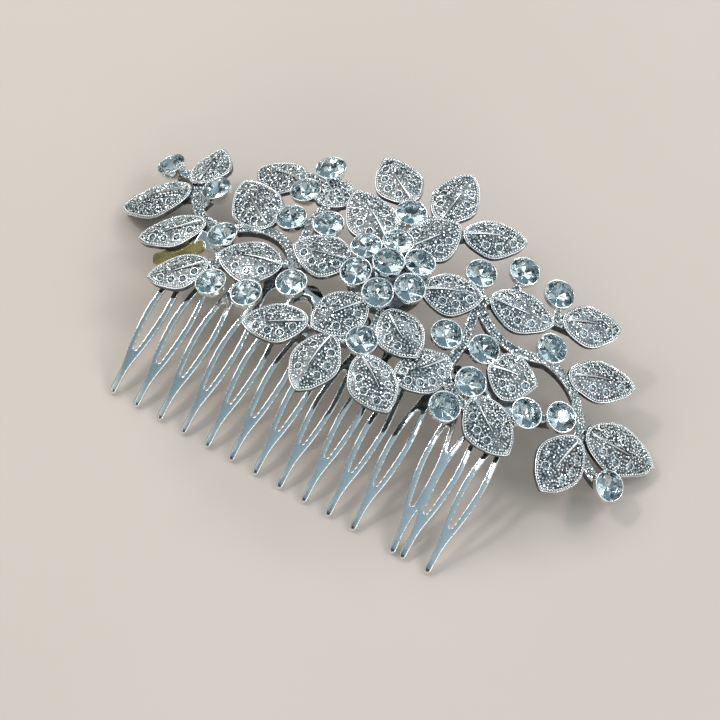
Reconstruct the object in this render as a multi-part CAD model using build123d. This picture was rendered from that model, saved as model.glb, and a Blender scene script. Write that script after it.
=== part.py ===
from build123d import *
import os
from math import cos, degrees, radians, sin, sqrt, tan

# Decorative hair comb: a pressed sheet comb with a domed spray of pave leaves and
# round crystals soldered over its spine. All sizes are in millimetres.
# X runs along the spine, -Y is the way the tines point, +Z is up, and the comb
# rests on its tine tips and on the tips of the two outermost leaves.

# ---- comb blade ---------------------------------------------------------
TINE_COUNT = 14
TINE_PITCH = 6.0
BLADE_CENTRE_X = -1.4
SHEET_THICKNESS = 0.9
BLADE_SLOPE = 16.2            # degrees that the blade falls away from the spine
SPINE_TOP_Y = -5.8            # crest of the scallops
SLOT_TOP_Y = -9.7             # where the slots between the tine stems end
SPINE_LEVEL = -9.6            # top face of the sheet at SLOT_TOP_Y
SCALLOP_RADIUS = 3.3
STEM_WIDTH = 1.9
TIP_Y = -42.9                 # centre of the rounded tip
TIP_RADIUS = 0.76
# Half width of a tine at each height, from its stem down to its neck.
TINE_SIDE = [(-8.7, 0.95), (-14.0, 0.98), (-18.8, 1.72), (-25.0, 2.38), (-30.5, 2.18),
             (-35.0, 1.48), (-38.2, 0.86), (-41.0, 0.70)]
# Half width of the opening in each tine, between its rounded top and its rounded crotch.
EYE_SIDE = [(-18.5, 0.40), (-21.4, 0.80), (-25.0, 1.10), (-29.5, 0.94), (-34.4, 0.40)]
BEND_START_Y = -18.0          # the blade is straight down to here, then curls down
BEND_RADIUS = 90.0
STRAYED_TINE = 11             # this tine has been pushed towards the next one
STRAYED_OFFSET = 3.6

# ---- ornament dome ------------------------------------------------------
DOME_LONG_RADIUS = 106.0      # curvature along X
DOME_CROSS_RADIUS = 321.0     # curvature along Y

# ---- crystals and their cups --------------------------------------------
CRYSTAL_RADIUS = 3.1
TABLE_RADIUS = 1.55
CROWN_HEIGHT = 1.0
GIRDLE_HEIGHT = 0.25
PAVILION_DEPTH = 1.9
CULET_RADIUS = 0.5
CUP_RADIUS = 3.4
CUP_BASE_RADIUS = 2.3
CUP_DEPTH = 2.7
CUP_LIP = 0.3                 # how far the cup's rim stands above the girdle

# ---- leaves -------------------------------------------------------------
LEAF_THICKNESS = 0.9
LEAF_FALL = 0.32              # drop from the midrib to the edge, per mm of half width
LEAF_CROWN = 0.28             # how far each half bulges above its chord
LEAF_CURL_RADIUS = 40.0       # lengthwise curl of a leaf
LEAF_BASE_WIDTH = 1.4

# ---- pave stones --------------------------------------------------------
STONE_RADIUS = 0.78
STONE_DEPTH = 0.55
STONE_PROUD = 0.28
STONE_TAPER = 0.35
SEAT_CLEARANCE = 0.02         # gap between a stone and the wall of its seat
SEAT_MINIMUM = 0.2            # least volume a seat takes out of its leaf, in mm3

# ---- stems --------------------------------------------------------------
STEM_TOP = -0.9               # top of the stems, below the dome
STEM_BOTTOM = -3.2
BRANCH_WIDTH = 1.7
NECK_WIDTH = 1.4

# ---- centre cluster -----------------------------------------------------
CLUSTER_RING_RADIUS = 6.8
CLUSTER_RING_LEVEL = 2.7
CLUSTER_RING_TILT = 10.0
CLUSTER_RING_START = 43.0
CLUSTER_CENTRE_LEVEL = 4.7
CLUSTER_PLATE_RADIUS = 8.4
CLUSTER_SKIRT = 1.0           # thickness of the plate's rim, which the stems butt against

# ---- solder posts and end brace -----------------------------------------
POST_RADIUS = 0.8
POST_TOP = -1.5               # top of the posts, below the dome and inside the stems
POST_PLACES = {"left": (-19.0, -7.0), "right": (21.0, -8.7)}
BRACE_WIDTH = 2.8
BRACE_THICKNESS = 0.8
BRACE_START = (-39.3, -9.8)
BRACE_END = (-48.2, -15.9)

# ---- one spray; the other is the same one turned half a turn about Z,
# ---- with some of its leaves bent another way ----------------------------
# Crystals: centre x, y.
CRYSTALS = [
    (60.5, -9.0), (45.5, -4.5), (36.5, 7.0), (31.5, 19.0), (23.0, 18.5), (16.0, 12.0),
    (17.5, -5.0), (25.5, -3.0), (27.0, -11.0), (25.5, -19.0), (4.0, -16.5), (39.5, -9.0),
]
HIDDEN_ON_LEFT = (39.5, -9.0)  # the left spray has no crystal at this place

# Leaves: base x, y, tip x, y, width, midrib above the dome at the base and at the tip.
LEAVES = [
    (51.9, -2.9, 66.1, 3.3, 11.4, 0.5, -1.7),
    (42.5, 4.8, 54.6, 13.2, 9.4, 0.5, 0.5),
    (51.0, -5.3, 49.9, -19.8, 11.0, 0.2, -1.1),
    (35.3, 14.5, 45.9, 22.2, 9.6, 0.1, -0.1),
    (20.6, 8.7, 34.3, 12.6, 10.2, 0.1, 0.0),
    (8.0, 18.3, 20.0, 25.2, 9.6, 0.6, 0.7),
    (2.0, 18.5, 1.5, 33.5, 10.4, 0.5, 0.5),
    (-5.5, 19.5, -17.0, 27.2, 10.6, 0.5, 0.5),
    (0.4, 7.6, 6.4, 19.8, 11.2, 0.9, 1.0),
    (7.9, 1.0, 19.6, 7.1, 10.2, 0.8, 0.9),
    (29.0, -13.2, 41.2, -18.8, 11.0, 0.1, -0.3),
    (28.2, -5.6, 38.5, -2.3, 11.0, 0.5, 0.5),
    (4.5, -7.5, 15.5, -13.5, 10.4, 0.5, 0.5),
    (21.3, -9.3, 13.6, -20.2, 10.0, 0.0, -0.6),
]

# Leaves of the left spray that are bent another way, before its half turn, by their place in LEAVES.
BENT_ON_LEFT = {
    2: (51.0, -5.3, 53.0, -18.0, 10.0, 0.2, -1.5),
    4: (20.6, 8.7, 34.8, 11.7, 11.2, 0.1, 0.5),
    9: (7.9, 1.0, 21.0, 3.9, 11.2, 0.8, 1.5),
    10: (29.0, -13.2, 41.8, -15.0, 10.6, 0.1, -2.0),
    11: (28.9, 1.2, 41.2, -8.4, 11.4, 0.5, 1.0),
    12: (4.5, -7.5, 17.6, -15.6, 11.0, 0.5, 0.8),
    13: (21.3, -9.3, 21.6, -19.6, 9.0, 0.0, -2.6),
}

# Stones on a leaf: distance along it and across it, as fractions.
STONE_PATTERNS = [
    [(0.26, 0.42), (0.46, 0.56), (0.66, 0.44), (0.26, -0.42), (0.46, -0.56), (0.66, -0.44), (0.83, 0.0)],
    [(0.22, 0.36), (0.41, 0.60), (0.60, 0.50), (0.34, -0.46), (0.55, -0.52), (0.77, -0.22), (0.77, 0.26)],
]

# Each stem is made of arcs through three points and of straight necks between two places.
MAIN_ARCS = [
    ((7.0, 1.0), (13.0, 4.6), (18.8, 6.8)),
    ((18.8, 6.8), (27.0, 1.8), (36.0, 4.3)),
    ((36.0, 4.3), (43.6, 3.2), (49.5, -3.0)),
    ((49.5, -3.0), (53.3, -7.6), (57.8, -8.8)),
    ((18.0, 6.4), (20.6, -1.5), (21.0, -9.0)),
    ((21.0, -9.0), (23.6, -14.2), (30.5, -15.0)),
]
MAIN_NECKS = [
    ((18.8, 6.8), (16.0, 12.0)), ((18.8, 6.8), (23.0, 9.8)), ((24.0, 10.0), (23.0, 18.5)),
    ((23.0, 9.8), (36.5, 14.5)), ((34.0, 13.6), (31.5, 19.0)), ((36.0, 4.3), (36.5, 7.0)),
    ((42.6, 3.5), (46.0, 6.0)), ((46.6, 0.6), (45.5, -4.5)), ((45.5, -4.5), (39.5, -9.0)),
    ((49.5, -3.0), (54.5, -1.3)), ((50.0, -3.6), (50.3, -8.5)), ((20.7, -4.6), (17.5, -5.0)),
    ((20.7, -4.2), (25.5, -3.0)), ((25.5, -3.0), (31.5, -3.8)), ((25.0, -13.6), (27.0, -11.0)),
    ((25.5, -14.6), (25.5, -19.0)), ((21.0, -9.0), (19.0, -11.5)),
]
UPPER_ARCS = [((1.5, 6.0), (3.6, 12.4), (7.5, 18.5))]
UPPER_NECKS = [
    ((5.6, 15.6), (2.0, 20.5)), ((2.6, 19.0), (-4.0, 16.5)), ((-4.0, 16.5), (-8.0, 20.7)),
    ((7.5, 18.5), (10.0, 19.8)),
]
LOWER_ARCS = [((3.0, -6.5), (4.2, -11.0), (4.0, -16.0))]
LOWER_NECKS = [((3.9, -9.5), (8.0, -9.6))]

HALF_TURN = Rot(0, 0, 180)
SPRAY_TURNS = {"right": Rot(0, 0, 0), "left": HALF_TURN}


def dome_height(x, y):
    """Height of the ornament's dome; its crown is at zero."""
    return -x * x / (2 * DOME_LONG_RADIUS) - y * y / (2 * DOME_CROSS_RADIUS)


def dome_normal(x, y):
    """Outward normal of the dome."""
    return Vector(x / DOME_LONG_RADIUS, y / DOME_CROSS_RADIUS, 1).normalized()


def dome_point(x, y, lift=0.0):
    """A point above or below the dome."""
    return Vector(x, y, dome_height(x, y) + lift)


def sheet_level(y):
    """Height of the blade's top face on its straight part."""
    return SPINE_LEVEL + (y - SLOT_TOP_Y) * tan(radians(BLADE_SLOPE))


# ---- comb blade ---------------------------------------------------------
def circle_at(x, y, radius):
    return Pos(x, y) * Circle(radius)


def tine_outline(x, tip_shift):
    """One tine in plan: stem, two bowed legs round an eye, neck and rounded tip."""
    reach = SLOT_TOP_Y - TIP_Y

    def side_points(profile, side):
        return [(x + tip_shift * (SLOT_TOP_Y - y) / reach + side * half, y) for y, half in profile]

    tip_x = x + tip_shift
    foot_right, foot_left = (tip_x + TIP_RADIUS, TIP_Y), (tip_x - TIP_RADIUS, TIP_Y)
    right = Spline(*side_points(TINE_SIDE, 1), foot_right)
    left = Spline(*side_points(TINE_SIDE, -1), foot_left)
    tip = ThreePointArc(foot_right, (tip_x, TIP_Y - TIP_RADIUS), foot_left)
    outside = make_face([right, tip, left, Line(left @ 0, right @ 0)])
    eye_right, eye_left = Spline(*side_points(EYE_SIDE, 1)), Spline(*side_points(EYE_SIDE, -1))
    ends = []
    for place, direction in ((0, 1), (1, -1)):
        first, second = eye_right @ place, eye_left @ place
        middle = (first + second) / 2 + Vector(0, direction * (first - second).length / 2)
        ends.append(ThreePointArc(first, middle, second))
    return outside - make_face([eye_right, eye_left, *ends])


def spine_outline():
    """Scalloped strip across the tops of the tines, one scallop over each slot."""
    first = BLADE_CENTRE_X - (TINE_COUNT - 1) / 2 * TINE_PITCH
    last = first + (TINE_COUNT - 1) * TINE_PITCH
    end_margin = STEM_WIDTH / 2 + 0.4
    notch_y = SPINE_TOP_Y - 1.0
    strip_height = notch_y - SLOT_TOP_Y + 0.6
    strip = Pos((first + last) / 2, notch_y - strip_height / 2) * Rectangle(
        last - first + 2 * end_margin, strip_height)
    slot_radius = (TINE_PITCH - STEM_WIDTH) / 2
    for index in range(TINE_COUNT - 1):
        x = first + (index + 0.5) * TINE_PITCH
        strip += circle_at(x, SPINE_TOP_Y - SCALLOP_RADIUS, SCALLOP_RADIUS)
    for index in range(TINE_COUNT - 1):
        x = first + (index + 0.5) * TINE_PITCH
        strip -= circle_at(x, SLOT_TOP_Y - slot_radius, slot_radius)
        strip -= Pos(x, SLOT_TOP_Y - slot_radius - 3) * Rectangle(2 * slot_radius, 6)
    return strip


def blade_outline():
    """Whole blade in plan."""
    outline = spine_outline()
    first = BLADE_CENTRE_X - (TINE_COUNT - 1) / 2 * TINE_PITCH
    for index in range(TINE_COUNT):
        shift = STRAYED_OFFSET if index == STRAYED_TINE else 0.0
        outline += tine_outline(first + index * TINE_PITCH, shift)
    return outline


def blade_sheet():
    """The curved sheet that the blade is pressed from, wider than the blade."""
    slope = radians(BLADE_SLOPE)
    top = (SPINE_TOP_Y + 2.0, sheet_level(SPINE_TOP_Y + 2.0))
    bend = (BEND_START_Y, sheet_level(BEND_START_Y))
    centre = (bend[0] + BEND_RADIUS * sin(slope), bend[1] - BEND_RADIUS * cos(slope))
    turn = (TIP_Y - 6.0 - BEND_START_Y) / -BEND_RADIUS

    def on_bend(angle, radius):
        return (centre[0] - radius * sin(angle), centre[1] + radius * cos(angle))

    inner = BEND_RADIUS - SHEET_THICKNESS
    end, middle = slope + turn, slope + turn / 2
    below_top = (top[0] + SHEET_THICKNESS * sin(slope), top[1] - SHEET_THICKNESS * cos(slope))
    edges = [
        Line(top, bend),
        ThreePointArc(bend, on_bend(middle, BEND_RADIUS), on_bend(end, BEND_RADIUS)),
        Line(on_bend(end, BEND_RADIUS), on_bend(end, inner)),
        ThreePointArc(on_bend(end, inner), on_bend(middle, inner), on_bend(slope, inner)),
        Line(on_bend(slope, inner), below_top),
        Line(below_top, top),
    ]
    profile = Plane.YZ * make_face(edges)
    width = TINE_COUNT * TINE_PITCH + 10
    return Pos(BLADE_CENTRE_X - width / 2, 0, 0) * extrude(profile, width, dir=(1, 0, 0))


def comb_blade():
    prism = extrude(Pos(0, 0, -40) * blade_outline(), 50)
    return prism & blade_sheet()


# ---- crystals and cups --------------------------------------------------
def crystal():
    """Round brilliant outline: table, crown, girdle and blunt pavilion."""
    points = [
        (0, GIRDLE_HEIGHT / 2 + CROWN_HEIGHT), (TABLE_RADIUS, GIRDLE_HEIGHT / 2 + CROWN_HEIGHT),
        (CRYSTAL_RADIUS, GIRDLE_HEIGHT / 2), (CRYSTAL_RADIUS, -GIRDLE_HEIGHT / 2),
        (CULET_RADIUS, -GIRDLE_HEIGHT / 2 - PAVILION_DEPTH), (0, -GIRDLE_HEIGHT / 2 - PAVILION_DEPTH),
    ]
    return revolve(Plane.XZ * make_face(Polyline(*points, close=True)), Axis.Z)


def cup_envelope():
    """Everything inside a cup's outer wall, crystal and all."""
    points = [
        (0, CUP_LIP), (CUP_RADIUS - 0.12, CUP_LIP), (CUP_RADIUS, CUP_LIP - 0.15), (CUP_RADIUS, -0.9),
        (CUP_BASE_RADIUS, -CUP_DEPTH), (0, -CUP_DEPTH),
    ]
    return revolve(Plane.XZ * make_face(Polyline(*points, close=True)), Axis.Z)


def cup():
    """Cup with a burnished lip, hollow to the shape of its crystal."""
    mouth = Pos(0, 0, CUP_LIP) * Cylinder(CRYSTAL_RADIUS - 0.12, 2 * CUP_LIP)
    return cup_envelope() - mouth - crystal()


def dome_location(x, y, lift=0.0):
    """A place on the dome with its Z along the dome's normal."""
    plane = Plane(origin=dome_point(x, y, lift), x_dir=(1, 0, 0), z_dir=dome_normal(x, y))
    return plane.location


def crystal_places(side):
    places = []
    for x, y in CRYSTALS:
        if side == "left" and (x, y) == HIDDEN_ON_LEFT:
            continue
        places.append(SPRAY_TURNS[side] * dome_location(x, y))
    return places


def cluster_places():
    """Six crystals leaning outwards in a ring round one raised crystal."""
    places = [Pos(0, 0, CLUSTER_CENTRE_LEVEL)]
    for index in range(6):
        angle = CLUSTER_RING_START + 60 * index
        lean = Pos(CLUSTER_RING_RADIUS, 0, CLUSTER_RING_LEVEL) * Rot(0, CLUSTER_RING_TILT, 0)
        places.append(Rot(0, 0, angle) * lean)
    return places


# ---- leaves -------------------------------------------------------------
def leaf_outline(length, width):
    """Leaf in plan, base at the origin and tip on +X."""
    half = width / 2
    base = LEAF_BASE_WIDTH / 2
    upper = Spline(
        (0, base), (0.20 * length, 0.74 * half), (0.46 * length, half), (0.78 * length, 0.66 * half),
        (length, 0), tangents=((0.35, 1), (0.62, -1)))
    lower = mirror(upper, about=Plane.XZ)
    return make_face([upper, lower, Line((0, base), (0, -base))])


def leaf_shell(length, width):
    """Roof-shaped sheet, curled lengthwise, wider than the leaf."""
    half = width / 2 + 0.6
    fall = LEAF_FALL * half
    points = []
    for depth in (0.0, LEAF_THICKNESS):
        side = (half, -fall - depth)
        middle = (half / 2, -fall / 2 + LEAF_CROWN - depth)
        points.append((side, middle, (0, -depth)))
    (side_t, mid_t, ridge_t), (side_b, mid_b, ridge_b) = points

    def flip(p):
        return (-p[0], p[1])

    edges = [
        ThreePointArc(side_t, mid_t, ridge_t), ThreePointArc(ridge_t, flip(mid_t), flip(side_t)),
        Line(flip(side_t), flip(side_b)),
        ThreePointArc(flip(side_b), flip(mid_b), ridge_b), ThreePointArc(ridge_b, mid_b, side_b),
        Line(side_b, side_t),
    ]
    profile = Plane.YZ * make_face(edges)
    sweep_angle = degrees((length + 4) / LEAF_CURL_RADIUS)
    curl_axis = Axis((0, 0, -LEAF_CURL_RADIUS), (0, 1, 0))
    shell = revolve(profile, curl_axis, sweep_angle)
    centred = Pos(0, 0, -LEAF_CURL_RADIUS) * Rot(0, -sweep_angle / 2, 0) * Pos(0, 0, LEAF_CURL_RADIUS)
    return Pos(length / 2, 0, 0) * centred * shell


def leaf_surface_height(u, v, length):
    """Top of a leaf at u along and v across, in the leaf's own frame."""
    curl = LEAF_CURL_RADIUS - sqrt(LEAF_CURL_RADIUS ** 2 - (u - length / 2) ** 2)
    return -LEAF_FALL * abs(v) - curl + LEAF_CROWN * 0.6


def leaf_stone(u, v, length, spin, clearance=0.0):
    """One pave stone set square to the leaf's surface, spun about its own axis."""
    tilt_across = -degrees(LEAF_FALL) if v > 0.01 else degrees(LEAF_FALL) if v < -0.01 else 0.0
    tilt_along = degrees((u - length / 2) / LEAF_CURL_RADIUS)
    top = leaf_surface_height(u, v, length) + STONE_PROUD
    height = STONE_PROUD + STONE_DEPTH + clearance
    stone = Cone(STONE_RADIUS * STONE_TAPER + clearance, STONE_RADIUS + clearance, height)
    return Pos(u, v, top) * Rot(tilt_across, tilt_along, spin) * Pos(0, 0, -height / 2) * stone


def leaf_at(side, index):
    """Base, tip, width and lifts of one leaf, before its spray is turned."""
    if side == "left" and index in BENT_ON_LEFT:
        return BENT_ON_LEFT[index]
    return LEAVES[index]


def leaf_location(leaf):
    """Where a leaf's own frame goes: on the dome, base to tip along its X."""
    base_x, base_y, tip_x, tip_y, width, base_lift, tip_lift = leaf
    base = dome_point(base_x, base_y, base_lift)
    tip = dome_point(tip_x, tip_y, tip_lift)
    along = (tip - base).normalized()
    normal = dome_normal((base_x + tip_x) / 2, (base_y + tip_y) / 2)
    across = normal.cross(along).normalized()
    return Plane(origin=base, x_dir=along, z_dir=along.cross(across)).location, (tip - base).length


def leaf_body(leaf):
    """A plain leaf, without its seats, in its place in the right-hand spray."""
    place, length = leaf_location(leaf)
    outline = extrude(Pos(0, 0, -12) * leaf_outline(length, leaf[4]), 20)
    return place * (outline & leaf_shell(length, leaf[4]))


def shared_volume(first, second):
    common = first & second
    return sum(solid.volume for solid in common.solids()) if common else 0.0


def set_stone(body, stone_at):
    """Cut one seat, spinning the stone to find a clean cut. None if the leaf has no room for it."""
    for spin in (0, 25, 50, 75, 100, 125):
        stone = stone_at(spin)
        cut = body - stone_at(spin, SEAT_CLEARANCE)
        if shared_volume(cut, stone) < 0.001 and len(cut.solids()) == 1:
            if body.volume - cut.volume > SEAT_MINIMUM:
                return cut.solids()[0], stone
            return None
    return None


def set_stones(body, leaf, pattern, turn, keep_clear):
    """Set a leaf's stones, leaving out those that a crystal's cup or another leaf covers."""
    place, length = leaf_location(leaf)
    half = leaf[4] / 2
    stones = []
    for u, v in pattern:
        def stone_at(spin, clearance=0.0):
            return turn * place * leaf_stone(u * length, v * half, length, spin, clearance)

        blocked = any(boxes_meet(stone_at(0), other, -0.05) and shared_volume(stone_at(0), other) > 0
                      for other in keep_clear)
        seated = None if blocked else set_stone(body, stone_at)
        if seated:
            body, stone = seated
            stones.append(stone)
    return body, stones


# ---- stems, cluster plate, posts and brace ------------------------------
def stem_outline(arcs, necks):
    """Branches and necks in plan, with rounded ends."""
    shape = Sketch()
    for start, middle, end in arcs:
        shape += trace(ThreePointArc(start, middle, end), BRANCH_WIDTH)
        for x, y in (start, end):
            shape += circle_at(x, y, BRANCH_WIDTH / 2)
    for start, end in necks:
        shape += trace(Line(start, end), NECK_WIDTH)
        for x, y in (start, end):
            shape += circle_at(x, y, NECK_WIDTH / 2)
    return shape


def dome_shell(top, bottom):
    """Sheet that follows the dome between two depths, as a patch of a torus."""
    half_length = 75.0
    half_turn = 8.0
    edges = []
    for lift in (top, bottom):
        radius = DOME_LONG_RADIUS + lift
        reach = half_length / DOME_LONG_RADIUS
        points = [
            (-radius * sin(reach), radius * cos(reach) - DOME_LONG_RADIUS),
            (0, lift),
            (radius * sin(reach), radius * cos(reach) - DOME_LONG_RADIUS),
        ]
        edges.append(points)
    upper, lower = edges
    profile = Plane.XZ * make_face([
        ThreePointArc(*upper), Line(upper[2], lower[2]), ThreePointArc(*reversed(lower)),
        Line(lower[0], upper[0])])
    cross_axis = Axis((0, 0, -DOME_CROSS_RADIUS), (1, 0, 0))
    band = revolve(profile, cross_axis, 2 * half_turn)
    return Pos(0, 0, -DOME_CROSS_RADIUS) * Rot(-half_turn, 0, 0) * Pos(0, 0, DOME_CROSS_RADIUS) * band


def stem(arcs, necks):
    """A stem pressed to follow the underside of the dome."""
    prism = extrude(Pos(0, 0, -40) * stem_outline(arcs, necks), 50)
    return prism & dome_shell(STEM_TOP, STEM_BOTTOM)


def main_stem(side):
    hidden = HIDDEN_ON_LEFT if side == "left" else None
    return stem(MAIN_ARCS, [neck for neck in MAIN_NECKS if neck[1] != hidden])


def cluster_plate():
    """Domed plate with a skirt, which carries the seven crystals of the centre."""
    top = CLUSTER_CENTRE_LEVEL - CUP_DEPTH + 0.4
    inside = CLUSTER_PLATE_RADIUS - CLUSTER_SKIRT
    points = [
        (0, top), (2.6, top), (CLUSTER_PLATE_RADIUS, 0.4), (CLUSTER_PLATE_RADIUS, STEM_BOTTOM),
        (inside, STEM_BOTTOM), (inside, -1.2), (0, -0.2),
    ]
    return revolve(Plane.XZ * make_face(Polyline(*points, close=True)), Axis.Z)


def solder_post(x, y):
    """Short post from the spine's top face up to the underside of a stem."""
    bottom = sheet_level(y)
    top = dome_height(x, y) + POST_TOP
    overlap = 1.0
    post = Cylinder(POST_RADIUS, top - bottom + overlap, align=(Align.CENTER, Align.CENTER, Align.MIN))
    return Pos(x, y, bottom - overlap) * post


def end_brace():
    """Plain strip from the spine's left end out to the back of a leaf."""
    start = Vector(*BRACE_START, sheet_level(BRACE_START[1]) + 0.2)
    end = dome_point(*BRACE_END, -3.4)
    along = (end - start).normalized()
    across = Vector(0, 0, 1).cross(along).normalized()
    plane = Plane(origin=(start + end) / 2, x_dir=along, z_dir=along.cross(across))
    strip = Box((end - start).length, BRACE_WIDTH, BRACE_THICKNESS)
    corner_edges = strip.edges().filter_by(Axis.Z)
    return plane.location * fillet(corner_edges, BRACE_WIDTH * 0.3)


# ---- assembly -----------------------------------------------------------
def boxes_meet(first, second, gap=0.05):
    a, b = first.bounding_box(), second.bounding_box()
    return (a.min.X < b.max.X + gap and b.min.X < a.max.X + gap
            and a.min.Y < b.max.Y + gap and b.min.Y < a.max.Y + gap
            and a.min.Z < b.max.Z + gap and b.min.Z < a.max.Z + gap)


def carve(shape, tools):
    """Cut away what the neighbouring pieces occupy, and keep the largest solid."""
    for tool in tools:
        if boxes_meet(shape, tool):
            shape = shape - tool
    solids = sorted(shape.solids(), key=lambda s: s.volume)
    return solids[-1]


def build_settings(nodes):
    """Crystals and cups. Returns what the cups fill, for the other pieces to keep clear of."""
    places = {"cluster": cluster_places()}
    for side in SPRAY_TURNS:
        places[side] = crystal_places(side)
    envelopes = []
    for group, group_places in places.items():
        nodes["crystals_" + group] = [place * crystal() for place in group_places]
        nodes["cups_" + group] = [place * cup() for place in group_places]
        envelopes += [place * cup_envelope() for place in group_places]
    return envelopes


def build_leaves(nodes, taken):
    """Both sprays' leaves, cut back where they meet, and then the stones in them."""
    bodies = []
    for side, turn in SPRAY_TURNS.items():
        for index in range(len(LEAVES)):
            body = turn * leaf_body(leaf_at(side, index))
            bodies.append((side, index, carve(body, taken + [b[2] for b in bodies])))
    for side in SPRAY_TURNS:
        nodes["pave_" + side] = []
    leaves = []
    for side, index, body in bodies:
        others = taken + [b[2] for b in bodies if b[2] is not body]
        pattern = STONE_PATTERNS[index % len(STONE_PATTERNS)]
        body, stones = set_stones(body, leaf_at(side, index), pattern, SPRAY_TURNS[side], others)
        nodes["pave_" + side] += stones
        nodes[f"leaf_{side}_{index + 1:02d}"] = [body]
        leaves.append(body)
    return leaves


def build_stems(nodes, taken):
    """The stems under both sprays."""
    stems = []
    for side, turn in SPRAY_TURNS.items():
        shapes = {"branch": main_stem(side), "sprig_upper": stem(UPPER_ARCS, UPPER_NECKS),
                  "sprig_lower": stem(LOWER_ARCS, LOWER_NECKS)}
        for name, shape in shapes.items():
            piece = carve(turn * shape, taken + stems)
            nodes[f"{name}_{side}"] = [piece]
            stems.append(piece)
    return stems


def build_nodes():
    nodes = {}
    taken = build_settings(nodes)
    plate = carve(cluster_plate(), taken)
    nodes["cluster_plate"] = [plate]
    taken.append(plate)
    taken += build_leaves(nodes, taken)
    taken += build_stems(nodes, taken)
    brace = carve(end_brace(), taken)
    nodes["end_brace"] = [brace]
    blade = carve(comb_blade(), taken + [brace])
    nodes["comb_blade"] = [blade]
    for side, (x, y) in POST_PLACES.items():
        nodes["solder_post_" + side] = [carve(solder_post(x, y), taken + [blade])]
    return nodes


def main():
    os.makedirs("parts", exist_ok=True)
    nodes = build_nodes()
    boxes = [solid.bounding_box() for group in nodes.values() for solid in group]
    middle_x = (min(box.min.X for box in boxes) + max(box.max.X for box in boxes)) / 2
    middle_y = (min(box.min.Y for box in boxes) + max(box.max.Y for box in boxes)) / 2
    to_origin = Pos(-middle_x, -middle_y, -min(box.min.Z for box in boxes))
    for name, group in nodes.items():
        solids = [to_origin * solid for solid in group]
        shape = solids[0] if len(solids) == 1 else Compound(children=solids)
        export_step(shape, f"parts/{name}.step")


main()
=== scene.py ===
import math
import random

import bmesh
import bpy
import numpy as np
from mathutils import Matrix, Vector
from mathutils.kdtree import KDTree


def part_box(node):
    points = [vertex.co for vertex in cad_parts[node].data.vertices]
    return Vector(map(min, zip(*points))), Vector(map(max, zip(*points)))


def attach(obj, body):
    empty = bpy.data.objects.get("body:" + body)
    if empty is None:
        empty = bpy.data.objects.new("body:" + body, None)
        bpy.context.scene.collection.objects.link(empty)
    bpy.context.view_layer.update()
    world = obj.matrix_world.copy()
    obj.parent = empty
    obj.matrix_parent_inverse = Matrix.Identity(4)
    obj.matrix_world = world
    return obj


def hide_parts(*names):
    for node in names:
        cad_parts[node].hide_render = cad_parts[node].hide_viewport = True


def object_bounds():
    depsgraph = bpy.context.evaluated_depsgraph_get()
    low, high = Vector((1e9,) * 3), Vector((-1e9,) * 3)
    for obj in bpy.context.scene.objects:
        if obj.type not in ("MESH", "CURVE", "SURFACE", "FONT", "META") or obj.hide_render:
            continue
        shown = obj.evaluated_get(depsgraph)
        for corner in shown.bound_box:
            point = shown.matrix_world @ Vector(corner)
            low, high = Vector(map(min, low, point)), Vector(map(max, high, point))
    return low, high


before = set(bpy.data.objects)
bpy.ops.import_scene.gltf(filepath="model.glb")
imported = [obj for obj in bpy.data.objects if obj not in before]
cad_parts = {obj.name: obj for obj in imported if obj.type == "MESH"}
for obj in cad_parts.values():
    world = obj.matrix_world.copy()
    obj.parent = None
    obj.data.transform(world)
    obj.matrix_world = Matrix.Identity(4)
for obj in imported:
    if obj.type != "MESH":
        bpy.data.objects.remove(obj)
cad_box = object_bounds()

# All lengths are in metres; MM turns millimetres into metres.
MM = 0.001

# ---- camera ---------------------------------------------------------------
CAMERA_AZIMUTH = math.radians(27.0)
CAMERA_ELEVATION = math.radians(58.0)
CAMERA_ROLL = math.radians(5.5)
CAMERA_DISTANCE = 0.5
CAMERA_LENS = 120.0             # on a 36 mm wide sensor
SENSOR_WIDTH = 36.0
AIM_RIGHT = 0.0378              # where the dome's crown sits in the picture, right of its
AIM_UP = 0.1193                 # middle and above it, as shares of the picture's width
TABLE_ABOVE_CROWN = 5.825 * MM  # the middle crystal's table stands this far above the dome's crown

# ---- reading the frame --------------------------------------------------------
SEAM = 0.002 * MM               # points of the CAD mesh nearer than this are one point
TINY = 1e-12                    # keeps a zero length from being divided by
SEAT_MARGIN = 0.06 * MM         # edges this near a small stone belong to its seat
SEAT_DEPTH = 2 * MM             # and nothing farther than this along its axis does
STONE_SEARCH = 1 * MM           # a leaf's own stones lie within this of its box
UPWARD_LEAST = 0.3              # least height part of a normal that counts as facing up
TOP_LEAST = 0.62                # least agreement with a piece's mean upward normal for its top
RIDGE_ANGLE = math.radians(9.5)

# ---- leaves and stems -------------------------------------------------------
GRAIN_RADIUS = 0.29 * MM        # the small cut beads that cover leaves and stems
GRAIN_SPACING = 0.54 * MM
GRAIN_SIDES = 6
GRAIN_TILT = 0.30               # how far a cut bead may lean, as a share of its axis
STEM_GRAIN_SPACING = GRAIN_SPACING * 0.95
GRAIN_TRIES = 14                # random draws for each bead that could fit
LEAF_GRAIN_SPREAD = 0.36        # how much the beads' sizes differ, as a share
STEM_GRAIN_SPREAD = 0.30
GRAIN_GAP = 0.16 * MM           # between the grain and a wire, a midrib or a row of beads
GRAIN_TO_STONE = 1.06 * MM      # from a bead's middle to a small stone's middle
LINE_STEP = 0.3 * MM            # between the points of a wire
SHORTEST_EDGE = 0.8 * MM        # shorter runs of edge get no wire
RIM_RADIUS = 0.14 * MM          # plain wire round the edge of a leaf or stem
RIM_INSET = 0.08 * MM
WIRE_TAPER = 0.25               # a tapered wire's far radius over its near one
WIRE_TIP = 0.6                  # how far a wire's rounded end stands out, over its radius
MILGRAIN_RADIUS = 0.27 * MM     # row of beads just inside that wire
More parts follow.
